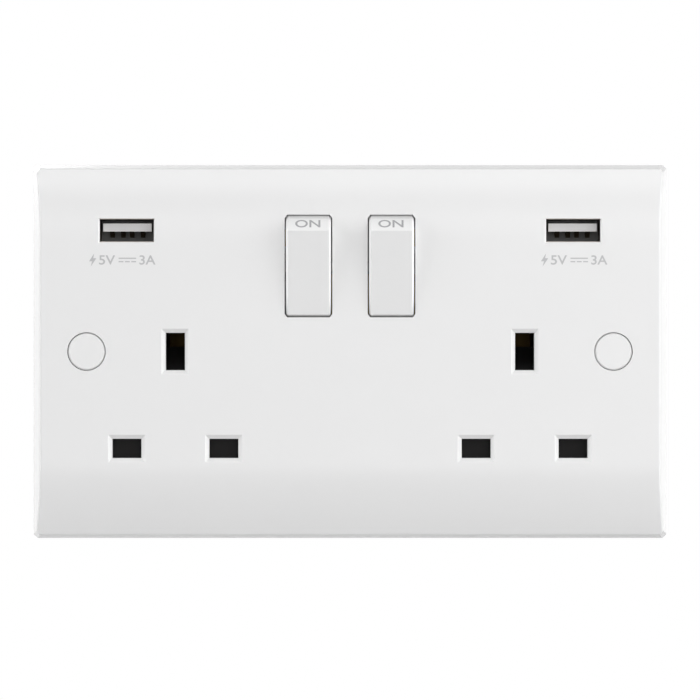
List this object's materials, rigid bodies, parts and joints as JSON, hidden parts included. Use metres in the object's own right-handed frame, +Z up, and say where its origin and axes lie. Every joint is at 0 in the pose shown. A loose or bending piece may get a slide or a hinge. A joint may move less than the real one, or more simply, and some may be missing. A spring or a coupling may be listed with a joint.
{
  "type": "double wall socket with charging ports",
  "caption": "Double switched wall socket with a curved white plate, rectangular pin slots behind shutters, rocker switches and charging ports.",
  "frame": {"origin": "centre of the plate's rear rim, midway between the two fixing screws in the plane of the wall", "axes": "+X to the right as seen from the room, +Y into the wall along the fixing screws, +Z up"},
  "size_m": [0.146, 0.0347, 0.086],
  "materials": {
    "face_white": "satin",
    "rocker_white": "satin",
    "cap_white": "satin",
    "base_white": "moulded",
    "shutter_dark": "moulded",
    "carrier_dark": "moulded",
    "plunger_nylon": "moulded",
    "brass": "stamped",
    "terminal_brass": "machined",
    "zinc_steel": "zinc plated",
    "spring_steel": "drawn wire",
    "port_steel": "nickel plated",
    "port_white": "moulded",
    "contact_gold": "flash plated",
    "board_green": "lacquered",
    "ferrite": "sintered",
    "coil_tape": "tape",
    "capacitor_can": "sleeved",
    "chip_black": "moulded"
  },
  "bodies": {
    "housing": {"front_plate": "face_white", "rear_base": "base_white", "fixing_screws": "zinc_steel", "base_screws": "zinc_steel", "screw_caps": "cap_white", "usb_capacitors": "capacitor_can", "neutral_busbar": "brass", "earth_busbar": "brass", "live_busbar": "brass", "terminal_neutral": "terminal_brass", "terminal_earth_left": "terminal_brass", "terminal_earth_right": "terminal_brass", "terminal_live": "terminal_brass", "live_contact_left": "brass", "shutter_spring_left": "spring_steel", "shutter_carrier_left": "carrier_dark", "usb_can_left": "port_steel", "usb_insulator_left": "port_white", "usb_contacts_left": "contact_gold", "usb_board_left": "board_green", "transformer_core_left": "ferrite", "transformer_coil_left": "coil_tape", "usb_chips_left": "chip_black", "live_contact_right": "brass", "shutter_spring_right": "spring_steel", "shutter_carrier_right": "carrier_dark", "usb_can_right": "port_steel", "usb_insulator_right": "port_white", "usb_contacts_right": "contact_gold", "usb_board_right": "board_green", "transformer_core_right": "ferrite", "transformer_coil_right": "coil_tape", "usb_chips_right": "chip_black"},
    "rocker_left": {"rocker_left": "rocker_white", "plunger_spring_left": "spring_steel"},
    "plunger_left": {"plunger_left": "plunger_nylon"},
    "seesaw_left": {"seesaw_left": "brass"},
    "shutter_left": {"shutter_left": "shutter_dark"},
    "rocker_right": {"rocker_right": "rocker_white", "plunger_spring_right": "spring_steel"},
    "plunger_right": {"plunger_right": "plunger_nylon"},
    "seesaw_right": {"seesaw_right": "brass"},
    "shutter_right": {"shutter_right": "shutter_dark"},
    "clamp_screw_neutral": {"clamp_screw_neutral": "zinc_steel"},
    "clamp_screw_earth_left": {"clamp_screw_earth_left": "zinc_steel"},
    "clamp_screw_earth_right": {"clamp_screw_earth_right": "zinc_steel"},
    "clamp_screw_live": {"clamp_screw_live": "zinc_steel"}
  },
  "joints": [
    {"name": "rocker_left_tilt", "type": "hinge", "parent": "housing", "child": "rocker_left", "pos_m": [-0.0095, 0, 0.0194], "axis": [-1, 0, 0], "range_deg": [0, 15]},
    {"name": "seesaw_left_tilt", "type": "hinge", "parent": "housing", "child": "seesaw_left", "pos_m": [-0.0095, 0.00988, 0.0194], "axis": [1, 0, 0], "range_deg": [0, 21]},
    {"name": "plunger_left_slide", "type": "slide", "parent": "rocker_left", "child": "plunger_left", "axis": [0, -0.9914, -0.1305], "range_m": [0, 0.0008], "stiffness_N_per_m": 150, "deforming": ["plunger_spring_left"]},
    {"name": "shutter_left_slide", "type": "slide", "parent": "housing", "child": "shutter_left", "axis": [0, 0, -1], "range_m": [0, 0.0056], "stiffness_N_per_m": 60, "springref_m": -0.002, "deforming": ["shutter_spring_left"]},
    {"name": "rocker_right_tilt", "type": "hinge", "parent": "housing", "child": "rocker_right", "pos_m": [0.0095, 0, 0.0194], "axis": [-1, 0, 0], "range_deg": [0, 15]},
    {"name": "seesaw_right_tilt", "type": "hinge", "parent": "housing", "child": "seesaw_right", "pos_m": [0.0095, 0.00988, 0.0194], "axis": [1, 0, 0], "range_deg": [0, 21]},
    {"name": "plunger_right_slide", "type": "slide", "parent": "rocker_right", "child": "plunger_right", "axis": [0, -0.9914, -0.1305], "range_m": [0, 0.0008], "stiffness_N_per_m": 150, "deforming": ["plunger_spring_right"]},
    {"name": "shutter_right_slide", "type": "slide", "parent": "housing", "child": "shutter_right", "axis": [0, 0, -1], "range_m": [0, 0.0056], "stiffness_N_per_m": 60, "springref_m": -0.002, "deforming": ["shutter_spring_right"]},
    {"name": "clamp_screw_neutral_travel", "type": "slide", "parent": "housing", "child": "clamp_screw_neutral", "axis": [0, -1, 0], "range_m": [0, 0.0044]},
    {"name": "clamp_screw_earth_left_travel", "type": "slide", "parent": "housing", "child": "clamp_screw_earth_left", "axis": [0, -1, 0], "range_m": [0, 0.0044]},
    {"name": "clamp_screw_earth_right_travel", "type": "slide", "parent": "housing", "child": "clamp_screw_earth_right", "axis": [0, -1, 0], "range_m": [0, 0.0044]},
    {"name": "clamp_screw_live_travel", "type": "slide", "parent": "housing", "child": "clamp_screw_live", "axis": [0, -1, 0], "range_m": [0, 0.0044]}
  ],
  "couplings": [
    {"joint": "seesaw_left_tilt", "follows": "rocker_left_tilt", "ratio": 1.4},
    {"joint": "seesaw_right_tilt", "follows": "rocker_right_tilt", "ratio": 1.4}
  ]
}
